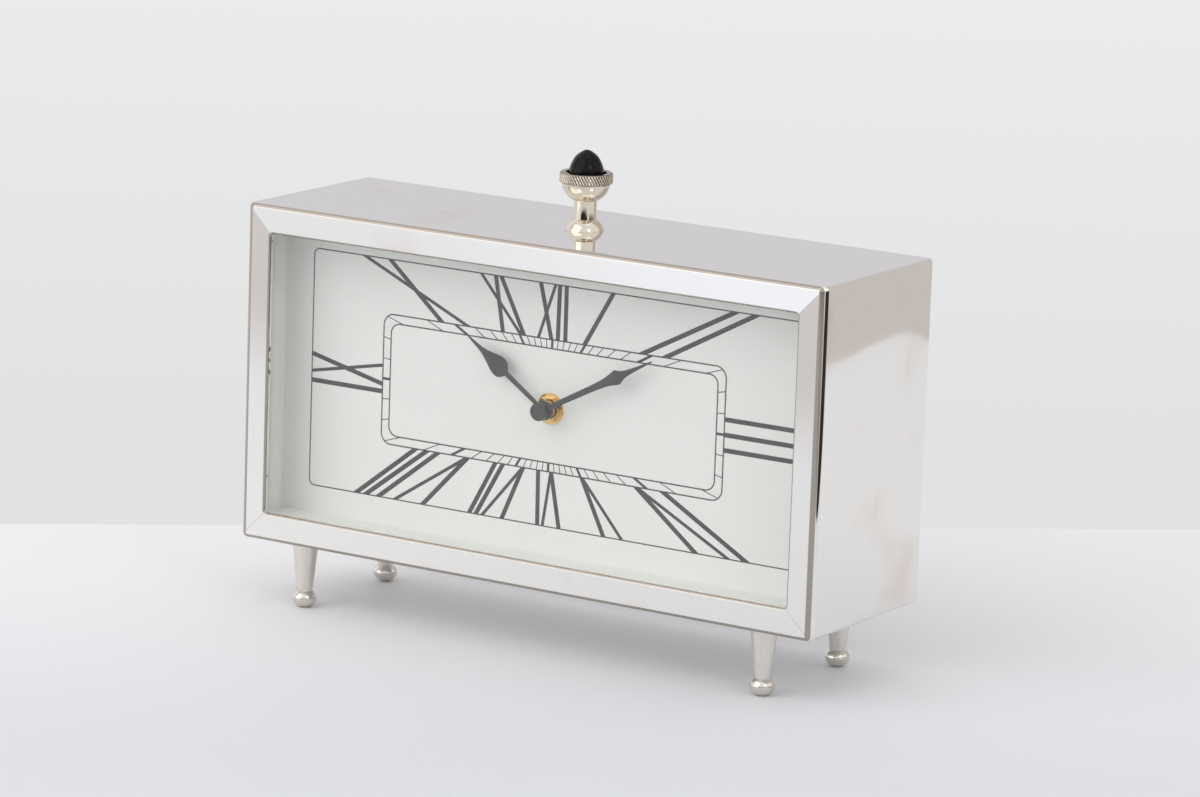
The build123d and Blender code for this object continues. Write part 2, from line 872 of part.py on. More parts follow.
def third_wheel():
    """Third wheel and the pinion that drives the centre wheel."""
    body = wheel(third_place, third_wheel_teeth, third_module, 0, third_layer, wheel_thickness)
    body += pinion(third_place, third_pinion_teeth, centre_module, third_pinion_phase, centre_layer)
    return body + bore(third_place, pivot_radius, movement_front + movement_wall, train_plate_back)


def rotor():
    """Magnet rotor of the step motor and its pinion."""
    body = bore(rotor_place, magnet_ring_radius, magnet_front, magnet_back)
    body += pinion(rotor_place, rotor_teeth, third_module, rotor_phase, third_layer)
    arbor_radius = min(pivot_radius, third_module * (rotor_teeth / 2 - dedendum))
    return body + bore(rotor_place, arbor_radius, movement_front + movement_wall, train_plate_back)


knob_front = movement_back + layer_gap


def setting_knob():
    """Setting knob with its toothed end in the minute wheel."""
    body = bore(knob_place, knob_shaft_radius, minute_layer, knob_front)
    body += bore(knob_place, pivot_radius, movement_front + movement_wall, minute_layer)
    body += wheel(knob_place, knob_teeth, cannon_module, knob_phase, minute_layer, wheel_thickness)
    grip = Circle(knob_radius)
    flute = knob_radius * pi / knob_flutes / 2
    for number in range(knob_flutes):
        x, y = polar(knob_radius, number * 360 / knob_flutes)
        grip -= Pos(x, y) * Circle(flute)
    return body + slab(Pos(*knob_place) * grip, knob_front, knob_front + knob_length)


plate_low = middle - plate_below
plate_high = middle + plate_above
plate_left = -plate_to_left
plate_right = plate_to_right
post_inset = post_radius + post_margin
plate_posts = [
    (plate_left + post_inset, plate_low + post_inset),
    (plate_left + post_inset, plate_high - post_inset),
    (plate_right - post_inset, plate_low + post_inset),
]
board_left = plate_right + board_plate_gap
board_right = half - movement_wall - board_wall_gap
board_x = (board_left + board_right) / 2
board_front = third_layer
board_posts = [(board_x, plate_low + post_inset), (board_x, plate_high - post_inset)]
divider_top = plate_low - layer_gap
battery_z = divider_top - divider - battery_clearance - battery_radius
battery_y = movement_front + movement_wall + battery_clearance + battery_radius


def movement_case():
    """Moulded tray of the movement, with posts, bosses, a stud and the battery bay."""
    wide = 2 * (half - movement_wall)
    outer = Pos(0, middle) * RectangleRounded(movement_size, movement_size, 2 * movement_wall)
    inner = Pos(0, middle) * RectangleRounded(wide, wide, movement_wall)
    tray = slab(outer, movement_front, cover_front)
    tray -= slab(inner, movement_front + movement_wall, movement_back)
    floor = movement_front + movement_wall
    tray += plate(
        movement_wall - half,
        half - movement_wall,
        floor,
        cover_front,
        divider_top - divider,
        divider_top,
    )
    for place in plate_posts:
        tray += bore(place, post_radius, floor, train_plate_front)
    for place in board_posts:
        tray += bore(place, post_radius, floor, board_front)
    stud_end = minute_layer + wheel_thickness + layer_gap / 2
    tray += bore(minute_wheel_place, pivot_radius, floor, stud_end)
    pivots = (third_place, rotor_place, knob_place)
    for place in pivots:
        tray += bore(place, boss_radius, floor, floor + bush_flange)
        tray -= bore(place, pivot_radius + pivot_clearance, floor, movement_back)
    return tray - disc(0, middle, bush_radius + thread_clearance, front, movement_back)


def threaded_bush():
    """Brass bush that holds the movement to the dial."""
    flange_front = movement_front + movement_wall
    bush = disc(0, middle, bush_radius, bush_front, flange_front)
    bush += disc(0, middle, bush_flange_radius, flange_front, flange_front + bush_flange)
    return bush - disc(0, middle, hour_pipe_radius + running_clearance, front, movement_back)


def movement_cover():
    """Back cover of the wheel work, open over the battery bay."""
    low = divider_top - divider
    high = middle + half
    cover = slab(area(-half, half, low, high), cover_front, movement_back)
    corners = cover.edges().filter_by(Axis.Y).group_by(Axis.Z)[-1]
    cover = fillet(corners, 2 * movement_wall)
    return cover - bore(knob_place, knob_shaft_radius + layer_gap, front, back)


def train_plate():
    """Moulded plate that holds the back pivots and the stator."""
    body = slab(area(plate_left, plate_right, plate_low, plate_high), train_plate_front, train_plate_back)
    for place in stator_seats:
        body += bore(place, seat_radius, stator_back, train_plate_front)
    for place in (third_place, rotor_place):
        body -= bore(place, pivot_radius + pivot_clearance, front, back)
    body -= bore(knob_place, knob_shaft_radius + pivot_clearance, front, back)
    return body - bore(centre_place, minute_arbor_radius + pivot_clearance, front, back)


core_z = plate_high + core_rise
coil_left = -coil_to_left
coil_right = coil_to_right
stator_left = rotor_place[0] - magnet_ring_radius - stator_gap - core_half
stator_low = rotor_place[1] - magnet_ring_radius - stator_gap - core_half
stator_right = coil_right + stator_limb - layer_gap
stator_seats = [
    (stator_left + seat_radius, stator_low + seat_radius),
    (stator_right - seat_radius - seat_margin, stator_low + stator_limb),
]


def stator():
    """Soft iron plate round the rotor, with the coil's core as its top limb."""
    shape = area(stator_left, stator_right, stator_low, core_z + core_half)
    shape -= area(coil_left - layer_gap, coil_right + layer_gap, rotor_place[1] + core_half, core_z - core_half)
    shape -= Pos(*rotor_place) * Circle(magnet_ring_radius + stator_gap)
    return slab(shape, stator_front, stator_back)


def coil():
    """Copper coil on the core."""
    y = (stator_front + stator_back) / 2
    winding = Plane(origin=(coil_left, y, core_z), z_dir=(1, 0, 0)) * (Circle(coil_radius) - Circle(coil_bore))
    return extrude(winding, amount=coil_right - coil_left)


def circuit_board():
    """Circuit board beside the train plate."""
    shape = area(board_left, board_right, plate_low, plate_high)
    return slab(shape, board_front, board_front + board_thickness)


def quartz_crystal():
    """Quartz crystal in its can, lying on the circuit board."""
    y = board_front + board_thickness + crystal_radius
    return post(board_x, y, crystal_radius, middle - crystal_length / 2, middle + crystal_length / 2)


def battery():
    """Dry cell in its bay."""
    can = Plane(origin=(-battery_length / 2, battery_y, battery_z), z_dir=(1, 0, 0))
    cell = extrude(can * Circle(battery_radius), amount=battery_length - battery_nub_length)
    cell = fillet(cell.edges(), battery_nub_length / 2)
    nub = extrude(can * Circle(battery_nub_radius), amount=battery_length)
    return cell + nub


def contact(side):
    """Sprung contact plate between a wall of the bay and an end of the cell."""
    near = battery_length / 2
    far = half - movement_wall
    z_low = battery_z - battery_nub_radius
    z_high = battery_z + battery_nub_radius
    y_low = battery_y - battery_nub_radius
    y_high = battery_y + battery_nub_radius
    outer = plate(far - contact_thickness, far, y_low, y_high, z_low, z_high)
    inner = plate(near, near + contact_thickness, y_low, y_high, z_low, z_high)
    bridge = plate(near, far, y_high - contact_thickness, y_high, z_low, z_high)
    spring = outer + inner + bridge
    return spring if side > 0 else mirror(spring, about=Plane.YZ)


def rubber_washer():
    """Rubber washer between movement and dial."""
    ring = disc(0, middle, rubber_radius, dial_back, movement_front)
    return ring - disc(0, middle, bush_radius + dial_hole_clearance, front, back)


def brass_washer():
    """Round brass washer on the front of the dial."""
    ring = disc(0, middle, fixing_washer_radius, dial_front - fixing_washer_thickness, dial_front)
    ring -= disc(0, middle, bush_radius + thread_clearance, front, back)
    return chamfer(ring.edges().group_by(Axis.Y)[0].sort_by(SortBy.RADIUS)[-1], fixing_washer_thickness / 4)


def hex_nut():
    """Hexagon nut that clamps the dial."""
    shape = Pos(0, middle) * (hexagon(fixing_nut_flats) - Circle(bush_radius + thread_clearance))
    return slab(shape, nut_front, nut_front + fixing_nut_height)


def blade(half_profile, angle):
    """Flat hand from its half outline, given as reach and half width, at a clock angle."""
    right = [(width, reach) for reach, width in half_profile]
    left = [(-width, reach) for reach, width in reversed(half_profile)]
    return Rot(0, 0, -angle) * make_face(Polyline(*right, *left, close=True))


def smooth(points, steps):
    """Points along a curve through the given reaches and half widths."""
    curve = Spline(*points)
    return [tuple(curve.position_at(number / steps))[:2] for number in range(steps + 1)]


def hour_hand():
    """Hour hand: slim arm, leaf-shaped spade and a long point, pressed on the hour pipe."""
    spade = smooth(((24.6, 1.2), (25.6, 3.2), (28.6, 4.75), (32.2, 4.1), (36.0, 2.5), (40.5, 1.1)), 18)
    outline_points = [(hour_pipe_radius, 1.0), *spade, (hour_hand_length, 0.3)]
    face = front + hour_boss_front
    boss_back = face + hour_boss_length
    shape = Pos(0, middle) * blade(outline_points, hour_hand_angle)
    hand = slab(shape, boss_back - blade_thickness, boss_back)
    hand += disc(0, middle, hour_boss_radius, face, boss_back)
    return hand - disc(0, middle, hour_pipe_radius + screw_clearance, front, back)


def minute_hand():
    """Minute hand: widening arm, sharp diamond and a long point, on the minute arbor."""
    flare = smooth(((30.0, 1.4), (36.0, 1.75), (40.5, 2.5), (44.2, 3.4)), 8)
    point = smooth(((44.2, 3.4), (46.4, 2.1), (50.0, 1.25), (56.0, 0.75)), 8)
    outline_points = [(minute_arbor_radius, 1.15), *flare, *point[1:], (minute_hand_length, 0.3)]
    boss_back = cap_back + minute_boss_length
    shape = Pos(0, middle) * blade(outline_points, minute_hand_angle)
    hand = slab(shape, boss_back - blade_thickness, boss_back)
    hand += disc(0, middle, minute_boss_radius, cap_back, boss_back)
    return hand - disc(0, middle, minute_arbor_radius + screw_clearance, front, back)


def cap_nut():
    """Round black cap on the end of the minute arbor."""
    cap = disc(0, middle, cap_radius, front + cap_front, cap_back)
    cap = chamfer(cap.edges().group_by(Axis.Y)[0], cap_face / 2)
    return cap - disc(0, middle, minute_arbor_radius + screw_clearance, arbor_front, back)


def group(make):
    """Like pieces at the four leg places, kept as separate solids."""
    return Compound(children=[make(x, y) for x, y in leg_places.values()])


corners = {
    "corner_block_low_left": (-1, -1),
    "corner_block_low_right": (1, -1),
    "corner_block_high_left": (-1, 1),
    "corner_block_high_right": (1, 1),
}
pieces = {
    "case_shell": case_shell(),
    "glass_pane": glass_pane(),
    "spacer_left": side_strip(-1),
    "spacer_right": side_strip(1),
    "spacer_bottom": flat_strip(-1),
    "spacer_top": flat_strip(1),
    "dial_plate": dial_plate(),
    "dial_border": dial_border(),
    "chapter_ring": chapter_ring(),
    "numerals": numerals(),
    "leg_screws": group(leg_screw),
    "leg_washers": group(leg_washer),
    "finial_base": finial_base(),
    "finial_stem": finial_stem(),
    "finial_cup": finial_cup(),
    "finial_rim": finial_rim(),
    "finial_cabochon": finial_cabochon(),
    "finial_stud": finial_stud(),
    "finial_washer": finial_washer(),
    "finial_nut": finial_nut(),
    "back_panel": back_panel(),
    "back_panel_screws": Compound(children=[panel_screw(*place) for place in corners.values()]),
    "access_door": access_door(),
    "door_pin": door_pin(),
    "door_pull": door_pull(),
    "door_magnet": door_magnet(),
    "movement_case": movement_case(),
    "movement_cover": movement_cover(),
    "train_plate": train_plate(),
    "threaded_bush": threaded_bush(),
    "rubber_washer": rubber_washer(),
    "brass_washer": brass_washer(),
    "hex_nut": hex_nut(),
    "stator": stator(),
    "coil": coil(),
    "circuit_board": circuit_board(),
    "quartz_crystal": quartz_crystal(),
    "battery": battery(),
    "contact_plus": contact(1),
    "contact_minus": contact(-1),
    "minute_arbor": minute_arbor(),
    "hour_wheel": hour_wheel(),
    "minute_wheel": minute_wheel(),
    "third_wheel": third_wheel(),
    "rotor": rotor(),
    "setting_knob": setting_knob(),
    "hour_hand": hour_hand(),
    "minute_hand": minute_hand(),
    "cap_nut": cap_nut(),
}
for name, place in leg_places.items():
    pieces[name] = leg(*place)
for name, place in corners.items():
    pieces[name] = corner_block(*place)

os.makedirs("parts", exist_ok=True)
for name, shape in pieces.items():
    export_step(shape, f"parts/{name}.step")
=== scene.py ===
from math import radians, sin, cos, pi

import bmesh
import bpy
import numpy as np
from mathutils import Matrix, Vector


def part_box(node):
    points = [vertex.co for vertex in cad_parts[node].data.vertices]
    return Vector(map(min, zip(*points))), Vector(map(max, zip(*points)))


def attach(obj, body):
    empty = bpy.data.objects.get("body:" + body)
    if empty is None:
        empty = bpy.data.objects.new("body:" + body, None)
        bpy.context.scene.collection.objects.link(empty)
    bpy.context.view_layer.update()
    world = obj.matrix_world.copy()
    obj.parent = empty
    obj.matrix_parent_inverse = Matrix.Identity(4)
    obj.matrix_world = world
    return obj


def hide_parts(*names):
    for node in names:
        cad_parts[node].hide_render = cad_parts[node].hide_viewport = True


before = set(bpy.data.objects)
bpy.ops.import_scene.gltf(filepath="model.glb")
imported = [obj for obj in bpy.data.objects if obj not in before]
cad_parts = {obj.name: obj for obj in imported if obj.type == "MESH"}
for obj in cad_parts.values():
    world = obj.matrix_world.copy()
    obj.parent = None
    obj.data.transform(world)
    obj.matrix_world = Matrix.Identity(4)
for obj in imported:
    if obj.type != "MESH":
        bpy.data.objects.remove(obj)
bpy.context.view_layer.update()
mm = 0.001

# The view
# The camera stands to the right of the front, a little above the clock, at the photograph's angle.
# Its place and lens come from the corners of the case and the printed lines of the dial.
camera = bpy.data.objects.new("camera", bpy.data.cameras.new("camera"))
camera.data.sensor_width = 36
camera.data.lens = 167.7
turn = Matrix.Rotation(radians(32.13), 4, "Z") @ Matrix.Rotation(radians(90 - 11.83), 4, "X")
turn = turn @ Matrix.Rotation(radians(2.016), 4, "Z")
camera.matrix_world = Matrix.Translation((1.2986, -2.0500, 0.6165)) @ turn
bpy.context.scene.collection.objects.link(camera)
bpy.context.scene.camera = camera
bpy.context.scene.view_settings.view_transform = "Standard"


# The room
# A white photographer's room. Only mirrored rays see its six darker or paler patches, which the polished
# metal shows as lines and soft tones; the camera sees a plain pale wall, and the light is even.
def linear(code):
    """sRGB hex colour as linear red, green, blue and alpha."""
    part = np.array([int(code[start:start + 2], 16) for start in (1, 3, 5)]) / 255
    part = np.where(part <= 0.04045, part / 12.92, ((part + 0.055) / 1.055) ** 2.4)
    return (float(part[0]), float(part[1]), float(part[2]), 1.0)


def add(tree, kind, settings=None, **links):
    """Adds a node; each link names an input, with _ for a space or _N for its number.

    A link gives the input a value or another node's output."""
    node = tree.nodes.new(kind)
    for name, value in (settings or {}).items():
        setattr(node, name, value)
    for name, value in links.items():
        socket = node.inputs[int(name[1:])] if name[1:].isdigit() else node.inputs[name.replace("_", " ")]
        if isinstance(value, bpy.types.NodeSocket):
            tree.links.new(value, socket)
        else:
            socket.default_value = value
    return node


world = bpy.data.worlds.new("white_room")
world.use_nodes = True
room = world.node_tree
room.nodes.clear()
way = add(room, "ShaderNodeSeparateXYZ", Vector=add(room, "ShaderNodeTexCoord").outputs["Generated"])
forwards = add(room, "ShaderNodeMath", {"operation": "MULTIPLY"}, _0=way.outputs["Y"], _1=-1.0)
bearing = add(
    room, "ShaderNodeMath", {"operation": "ARCTAN2"}, _0=way.outputs["X"], _1=forwards.outputs[0]
).outputs[0]
soft = {"interpolation_type": "SMOOTHSTEP"}
seen = linear("#fffffd")
# Each patch: the bearings in degrees where it starts, is full, stops being full and ends, the same
# for the height of the ray, and its colour.
openings = (
    (-34, -20, 72, 82, -0.262, -0.235, -0.200, -0.186, "#d3ceca"),
    (-14, -8, 54, 62, -0.192, -0.180, 0.06, 0.16, "#2c2a2a"),
    (72, 77, 134, 142, -0.252, -0.240, 0.06, 0.16, "#33302e"),
    (-75, -60, -12, -4, 0.25, 0.35, 0.75, 0.85, "#bdb2aa"),
    (128, 142, 400, 500, -1.2, -1.1, 1.1, 1.2, "#cfc8c4"),
    (-500, -400, -136, -112, -1.2, -1.1, 1.1, 1.2, "#d6d4d8"),
)
for left, left_in, right_in, right, low, low_in, high_in, high, code in openings:
    share = None
    for value, start, end in (
        (bearing, radians(left), radians(left_in)),
        (bearing, radians(right), radians(right_in)),
        (way.outputs["Z"], low, low_in),
        (way.outputs["Z"], high, high_in),
    ):
        edge = add(room, "ShaderNodeMapRange", soft, Value=value, From_Min=start, From_Max=end).outputs[0]
        if share is not None:
            edge = add(room, "ShaderNodeMath", {"operation": "MULTIPLY"}, _0=share, _1=edge).outputs[0]
        share = edge
    seen = add(room, "ShaderNodeMix", {"data_type": "RGBA"}, _0=share, _6=seen, _7=linear(code)).outputs[2]
fall = add(room, "ShaderNodeMapRange", Value=way.outputs["Z"], From_Min=-0.21, From_Max=-0.13).outputs[0]
backdrop = add(
    room, "ShaderNodeMix", {"data_type": "RGBA"}, _0=fall, _6=linear("#e2e2e3"), _7=linear("#ececec")
).outputs[2]
ray = add(room, "ShaderNodeLightPath")
straight = add(
    room,
    "ShaderNodeMath",
    {"operation": "MAXIMUM"},
    _0=ray.outputs["Is Camera Ray"],
    _1=ray.outputs["Is Transmission Ray"],
).outputs[0]
plain_light = add(room, "ShaderNodeBackground", Color=linear("#fdfdfd"), Strength=0.81).outputs[0]
mirrored = add(room, "ShaderNodeBackground", Color=seen, Strength=1.0).outputs[0]
shown = add(room, "ShaderNodeBackground", Color=backdrop, Strength=1.0).outputs[0]
lit = add(room, "ShaderNodeMixShader", _0=ray.outputs["Is Glossy Ray"], _1=plain_light, _2=mirrored)
lit = add(room, "ShaderNodeMixShader", _0=straight, _1=lit.outputs[0], _2=shown)
add(room, "ShaderNodeOutputWorld", Surface=lit.outputs[0])
bpy.context.scene.world = world


# The table and lamps
# A white laminate table, with painted shade that makes it a little darker towards the camera. Its outline is
# chosen for the edge that the case's side mirrors. One broad lamp is over the left shoulder, with weak ones
# above and on the right.
def finish(name):
    """New node material, with its tree, its Principled shader and the place on the piece in metres."""
    material = bpy.data.materials.new(name)
    material.use_nodes = True
    tree = material.node_tree
    place = add(tree, "ShaderNodeTexCoord").outputs["Object"]
    return material, tree, tree.nodes["Principled BSDF"], place


def set_plain(shader, **values):
    """Puts constant values on the shader's own sockets."""
    for name, value in values.items():
        shader.inputs[name.replace("_", " ")].default_value = value


table_corners = [(-1.6, -1.059, 0), (-1.6, -2.312, 0), (0.50, -0.8, 0), (0.5275, 0.713, 0)]
table_mesh = bpy.data.meshes.new("table_top")
table_mesh.from_pydata(table_corners, [], [list(range(len(table_corners)))])
table_top = bpy.data.objects.new("table_top", table_mesh)
bpy.context.scene.collection.objects.link(table_top)
laminate, tree, shader, place = finish("white_laminate")
cloud = add(tree, "ShaderNodeTexNoise", Vector=place, Scale=2.5, Detail=2.0).outputs[0]
tint = add(
    tree, "ShaderNodeMix", {"data_type": "RGBA"}, _0=cloud, _6=linear("#f3f3f6"), _7=linear("#f8f8fa")
).outputs[2]
# Painted shade: the laminate's colour darkens towards the camera.
front_turn = radians(-32)
turned_place = add(tree, "ShaderNodeMapping", Vector=place, Rotation=(0, 0, front_turn)).outputs[0]
backwards = add(tree, "ShaderNodeSeparateXYZ", Vector=turned_place).outputs["Y"]
painted_shade_towards_camera = add(tree, "ShaderNodeMapRange", soft, Value=backwards, From_Min=0.1, From_Max=-0.25).outputs[0]
tint = add(
    tree, "ShaderNodeMix", {"data_type": "RGBA"}, _0=painted_shade_towards_camera, _6=tint, _7=linear("#e4e5ea")
).outputs[2]
tree.links.new(tint, shader.inputs["Base Color"])
set_plain(shader, Roughness=0.55, Specular_IOR_Level=0.3)
table_mesh.materials.append(laminate)

for name, spot, aim, size, power in (
    ("lamp_above", (0.3, 0.1, 2.2), (0, 0, 0.1), 1.3, 2),
    ("lamp_left", (-1.3, -2.4, 1.7), (0, 0, 0.15), 3.0, 30),
    ("lamp_right", (1.9, -1.0, 1.5), (0, 0, 0.15), 0.5, 3),
):
    lamp = bpy.data.objects.new(name, bpy.data.lights.new(name, "AREA"))
    lamp.data.size = size
    lamp.data.energy = power
    reach = np.array(aim) - np.array(spot)
    yaw = np.arctan2(reach[0], -reach[1])
    tilt = np.arctan2(np.hypot(reach[0], reach[1]), -reach[2])
    lamp.matrix_world = (
        Matrix.Translation(spot) @ Matrix.Rotation(yaw + pi, 4, "Z") @ Matrix.Rotation(tilt, 4, "X")
    )
    bpy.context.scene.collection.objects.link(lamp)


# Case
# A box of thin brass sheet with a frame soldered round the window, nickel plated and polished by hand.
# The sheet isn't quite flat, so its mirror images wave. The frame's tones by place, and the dull line along
# its edges, are painted reflections in the nickel's colour, standing in for what the room mirrored there.
def dress(material, *nodes):
    """Gives CAD nodes a material in every slot."""
    for name in nodes:
        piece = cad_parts[name]
        if not piece.material_slots:
            piece.data.materials.append(material)
        for slot in piece.material_slots:
            slot.material = material


polished_nickel, tree, shader, place = finish("polished_nickel")
wave = add(tree, "ShaderNodeTexNoise", Vector=place, Scale=1 / (70 * mm), Detail=1.0).outputs[0]
dents = add(tree, "ShaderNodeBump", Strength=1.0, Distance=0.22 * mm, Height=wave).outputs[0]
scratch_place = add(tree, "ShaderNodeMapping", Vector=place, Scale=(1.0, 1.0, 0.12)).outputs[0]
scratches = add(
    tree, "ShaderNodeTexNoise", Vector=scratch_place, Scale=1 / (0.8 * mm), Detail=3.0
).outputs[0]
skin = add(
    tree, "ShaderNodeBump", Strength=0.25, Distance=0.003 * mm, Height=scratches, Normal=dents
).outputs[0]
tree.links.new(skin, shader.inputs["Normal"])
stain = add(tree, "ShaderNodeTexNoise", Vector=place, Scale=1 / (45 * mm), Detail=3.0).outputs[0]
stained = add(tree, "ShaderNodeMapRange", soft, Value=stain, From_Min=0.58, From_Max=0.80).outputs[0]
metal = add(
    tree, "ShaderNodeMix", {"data_type": "RGBA"}, _0=stained, _6=linear("#f0efec"), _7=linear("#e8ded7")
).outputs[2]
box_low, box_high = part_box("case_shell")
half_tall = (box_high.z - box_low.z) / 2
mitre_line = box_high.x - half_tall
centred = add(
    tree, "ShaderNodeMapping", Vector=place, Location=(0, -box_low.y, -(box_low.z + box_high.z) / 2)
).outputs[0]
across, depth, up = add(tree, "ShaderNodeSeparateXYZ", Vector=centred).outputs
from_side = add(tree, "ShaderNodeMath", {"operation": "ABSOLUTE"}, _0=across).outputs[0]
from_middle = add(tree, "ShaderNodeMath", {"operation": "ABSOLUTE"}, _0=up).outputs[0]
off_mitre = add(
    tree, "ShaderNodeMath", {"operation": "SUBTRACT"}, _0=from_side, _1=from_middle
).outputs[0]
mitre = add(
    tree, "ShaderNodeMath", {"operation": "COMPARE"}, _0=off_mitre, _1=mitre_line, _2=0.3 * mm
).outputs[0]
on_face = add(tree, "ShaderNodeMath", {"operation": "LESS_THAN"}, _0=depth, _1=0.2 * mm).outputs[0]
seam = add(tree, "ShaderNodeMath", {"operation": "MULTIPLY"}, _0=mitre, _1=on_face).outputs[0]
faint_seam = add(tree, "ShaderNodeMath", {"operation": "MULTIPLY"}, _0=seam, _1=0.3).outputs[0]
metal = add(
    tree, "ShaderNodeMix", {"data_type": "RGBA"}, _0=faint_seam, _6=metal, _7=linear("#9c948c")
).outputs[2]
# Painted reflection: the upper half of the upright members' faces is tinted warm grey.
upright = add(
    tree, "ShaderNodeMath", {"operation": "GREATER_THAN"}, _0=off_mitre, _1=mitre_line
).outputs[0]
upright_face = add(
    tree, "ShaderNodeMath", {"operation": "MULTIPLY"}, _0=upright, _1=on_face
).outputs[0]
high = add(tree, "ShaderNodeMapRange", soft, Value=up, From_Min=-0.01, From_Max=0.04).outputs[0]
painted_reflection_uprights = add(tree, "ShaderNodeMath", {"operation": "MULTIPLY"}, _0=upright_face, _1=high).outputs[0]
metal = add(
    tree, "ShaderNodeMix", {"data_type": "RGBA"}, _0=painted_reflection_uprights, _6=metal, _7=linear("#d8d2cd")
).outputs[2]
# Painted highlight: the right end of the top member's face is whitened.
crossbar = add(tree, "ShaderNodeMath", {"operation": "LESS_THAN"}, _0=off_mitre, _1=mitre_line).outputs[0]
above = add(tree, "ShaderNodeMath", {"operation": "GREATER_THAN"}, _0=up, _1=0.0).outputs[0]
painted_highlight_lintel_end = add(
    tree, "ShaderNodeMapRange", soft, Value=across, From_Min=-0.10, From_Max=0.14
).outputs[0]
for where in (above, crossbar, on_face):
    painted_highlight_lintel_end = add(
        tree, "ShaderNodeMath", {"operation": "MULTIPLY"}, _0=painted_highlight_lintel_end, _1=where
    ).outputs[0]
metal = add(
    tree, "ShaderNodeMix", {"data_type": "RGBA"}, _0=painted_highlight_lintel_end, _6=metal, _7=linear("#ffffff")
).outputs[2]
# Painted reflection: the rounded front edges are tinted a dull brown-grey.
front_band = add(tree, "ShaderNodeMath", {"operation": "LESS_THAN"}, _0=depth, _1=1.2 * mm).outputs[0]
off_face = add(tree, "ShaderNodeMath", {"operation": "GREATER_THAN"}, _0=depth, _1=0.03 * mm).outputs[0]
painted_reflection_edge_line = add(
    tree, "ShaderNodeMath", {"operation": "MULTIPLY"}, _0=front_band, _1=off_face
).outputs[0]
metal = add(
    tree, "ShaderNodeMix", {"data_type": "RGBA"}, _0=painted_reflection_edge_line, _6=metal, _7=linear("#aaa29a")
).outputs[2]
tree.links.new(metal, shader.inputs["Base Color"])
haze = add(tree, "ShaderNodeMapRange", Value=stain, From_Min=0.3, From_Max=0.7, To_Min=0.02, To_Max=0.06)
tree.links.new(haze.outputs[0], shader.inputs["Roughness"])
set_plain(shader, Metallic=1.0)
dress(polished_nickel, "case_shell")

# Glass
# A pane of 2 mm float glass behind the frame, held by the strips. Its shadow rays go straight through,
# so that the lamps reach the dial.
float_glass, tree, shader, place = finish("float_glass")
set_plain(shader, Base_Color=linear("#ffffff"), Roughness=0.0, IOR=1.5, Transmission_Weight=1.0)
smears = add(tree, "ShaderNodeTexNoise", Vector=place, Scale=1 / (60 * mm), Detail=2.0).outputs[0]
bend = add(tree, "ShaderNodeBump", Strength=0.2, Distance=0.05 * mm, Height=smears).outputs[0]
tree.links.new(bend, shader.inputs["Normal"])
let_through = add(tree, "ShaderNodeBsdfTransparent", Color=linear("#fcfcfc")).outputs[0]
lamp_ray = add(tree, "ShaderNodeLightPath").outputs["Is Shadow Ray"]
pane = add(tree, "ShaderNodeMixShader", _0=lamp_ray, _1=shader.outputs[0], _2=let_through)
tree.links.new(pane.outputs[0], tree.nodes["Material Output"].inputs["Surface"])
dress(float_glass, "glass_pane")

# Strips and dial
# Strips of fibreboard hold the dial back from the glass. They and the dial board are sprayed with
# satin off-white paint, which shows as a fine even grain with slight clouds.
satin_paint, tree, shader, place = finish("satin_off_white_paint")
clouds = add(tree, "ShaderNodeTexNoise", Vector=place, Scale=1 / (80 * mm), Detail=2.0).outputs[0]
paint = add(
    tree, "ShaderNodeMix", {"data_type": "RGBA"}, _0=clouds, _6=linear("#f0f1ec"), _7=linear("#f5f6f2")
).outputs[2]
tree.links.new(paint, shader.inputs["Base Color"])
grain = add(tree, "ShaderNodeTexNoise", Vector=place, Scale=1 / (0.6 * mm), Detail=2.0).outputs[0]
sprayed = add(tree, "ShaderNodeBump", Strength=0.3, Distance=0.02 * mm, Height=grain).outputs[0]
tree.links.new(sprayed, shader.inputs["Normal"])
set_plain(shader, Roughness=0.5)
dress(satin_paint, "spacer_left", "spacer_right", "spacer_bottom", "spacer_top", "dial_plate")

# Print
# Border, minute track and numerals are screen printed in dark grey ink, which lies flat and nearly matt.
printing_ink, tree, shader, place = finish("screen_printed_ink")
density = add(tree, "ShaderNodeTexNoise", Vector=place, Scale=1 / (1.5 * mm), Detail=3.0).outputs[0]
ink = add(
    tree, "ShaderNodeMix", {"data_type": "RGBA"}, _0=density, _6=linear("#353537"), _7=linear("#3d3d40")
).outputs[2]
tree.links.new(ink, shader.inputs["Base Color"])
set_plain(shader, Roughness=0.6)
dress(printing_ink, "dial_border", "chapter_ring", "numerals")

# Legs
# Four turned brass legs, nickel plated. The tapered shank keeps the fine lines of the lathe's brush
# along its length and looks satin, and the ball under it is polished like the case.
brushed_nickel, tree, shader, place = finish("brushed_nickel")
height = add(tree, "ShaderNodeSeparateXYZ", Vector=place).outputs["Z"]
neck, fade = 8 * mm, 0.4 * mm
shank = add(
    tree, "ShaderNodeMapRange", Value=height, From_Min=neck - fade, From_Max=neck + fade
).outputs[0]
drawn = add(tree, "ShaderNodeMapping", Vector=place, Scale=(1.0, 1.0, 0.02)).outputs[0]
lines = add(tree, "ShaderNodeTexNoise", Vector=drawn, Scale=1 / (0.35 * mm), Detail=3.0).outputs[0]
metal = add(
    tree, "ShaderNodeMix", {"data_type": "RGBA"}, _0=lines, _6=linear("#d8d2cb"), _7=linear("#f0ece7")
).outputs[2]
metal = add(
    tree, "ShaderNodeMix", {"data_type": "RGBA"}, _0=shank, _6=linear("#dcd6cf"), _7=metal
).outputs[2]
tree.links.new(metal, shader.inputs["Base Color"])
rough = add(tree, "ShaderNodeMapRange", Value=shank, To_Min=0.08, To_Max=0.34).outputs[0]
